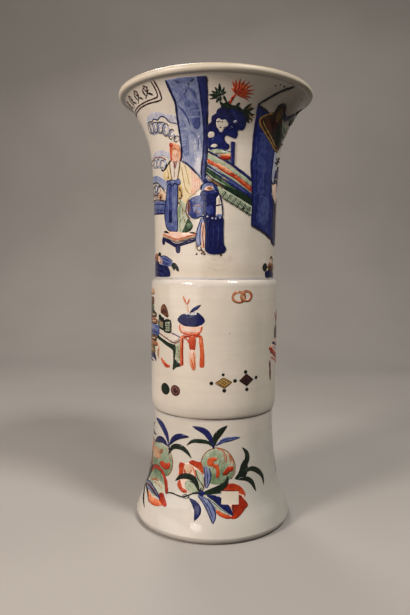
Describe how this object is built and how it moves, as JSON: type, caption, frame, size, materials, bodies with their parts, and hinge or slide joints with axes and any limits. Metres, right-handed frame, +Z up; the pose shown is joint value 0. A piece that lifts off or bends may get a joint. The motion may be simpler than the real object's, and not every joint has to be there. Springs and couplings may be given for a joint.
{
  "type": "beaker vase",
  "caption": "Tall hollow beaker vase of gu form in painted glazed porcelain: flared trumpet mouth with rolled lip, raised drum and spreading foot with a recessed base.",
  "frame": {"origin": "middle of the foot ring's resting plane", "axes": "+Z up along the vase's axis of turning, towards the mouth; -Y is the painted front"},
  "size_m": [0.2076, 0.2076, 0.46],
  "materials": {
    "glazed_porcelain": "glossy warm white glaze with fine specks",
    "base_glaze": "thinner, duller glaze under the foot and on the floor inside",
    "fired_slip": "matt fired slip, stained brown where the glaze breaks",
    "label_paper": "plain uncoated paper",
    "bare_biscuit": "unglazed foot ring, worn and slightly dirty",
    "cobalt_blue": "brushed cobalt under the glaze",
    "overglaze_enamel": "thin glossy enamels in iron red, greens, yellow and aubergine"
  },
  "bodies": {
    "root": {"upper_beaker": "glazed_porcelain", "middle_drum": "glazed_porcelain", "lower_foot_section": "glazed_porcelain", "base_disc": "base_glaze", "upper_luting_slip": "fired_slip", "lower_luting_slip": "fired_slip", "base_luting_slip": "fired_slip", "paper_label": "label_paper"}
  },
  "joints": []
}
